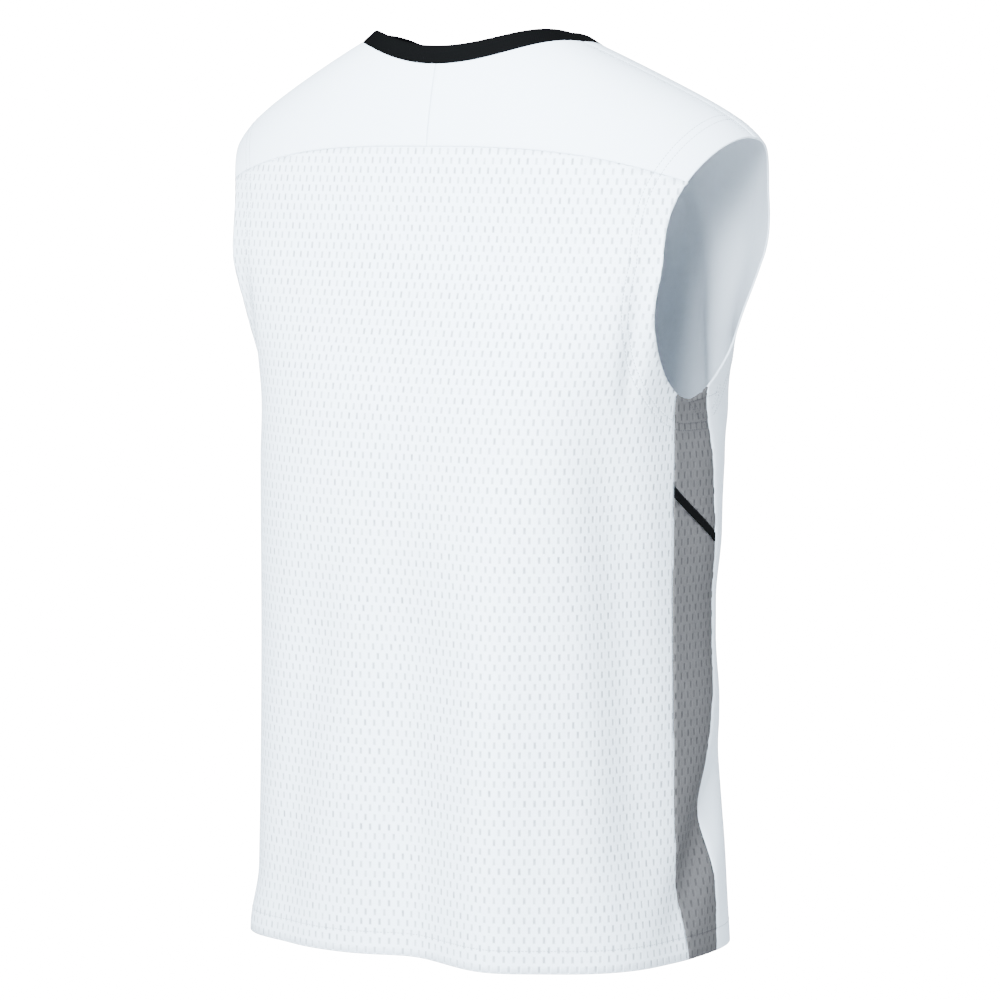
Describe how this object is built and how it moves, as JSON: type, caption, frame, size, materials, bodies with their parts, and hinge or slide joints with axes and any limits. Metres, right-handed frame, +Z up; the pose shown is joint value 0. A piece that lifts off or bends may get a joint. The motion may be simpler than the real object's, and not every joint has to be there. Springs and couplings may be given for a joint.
{
  "type": "sleeveless football top",
  "caption": "Loose sleeveless football top filled out as worn: white eyelet mesh back, plain yoke and front, grey mesh side panels with a black stripe, black rib collar.",
  "frame": {"origin": "midway between the two sides of the neck, at the height of the collar's highest edge, where the shoulders carry the top", "axes": "+X to the wearer's left, +Y to the back, +Z up"},
  "size_m": [0.4638, 0.2825, 0.7271],
  "materials": {
    "plain_knit_white": "smooth, soft sheen",
    "eyelet_mesh_white": "matt, small eyelets in offset rows",
    "eyelet_mesh_grey": "matt, small eyelets in offset rows",
    "plain_knit_black": "smooth, matt",
    "rib_knit_black": "fine ribs, matt"
  },
  "bodies": {
    "root": {"back_panel": "eyelet_mesh_white", "yoke_left": "plain_knit_white", "yoke_right": "plain_knit_white", "front_panel": "plain_knit_white", "side_upper_left": "eyelet_mesh_grey", "side_upper_right": "eyelet_mesh_grey", "side_stripe_left": "plain_knit_black", "side_stripe_right": "plain_knit_black", "side_lower_left": "eyelet_mesh_grey", "side_lower_right": "eyelet_mesh_grey", "collar": "rib_knit_black"}
  },
  "joints": []
}
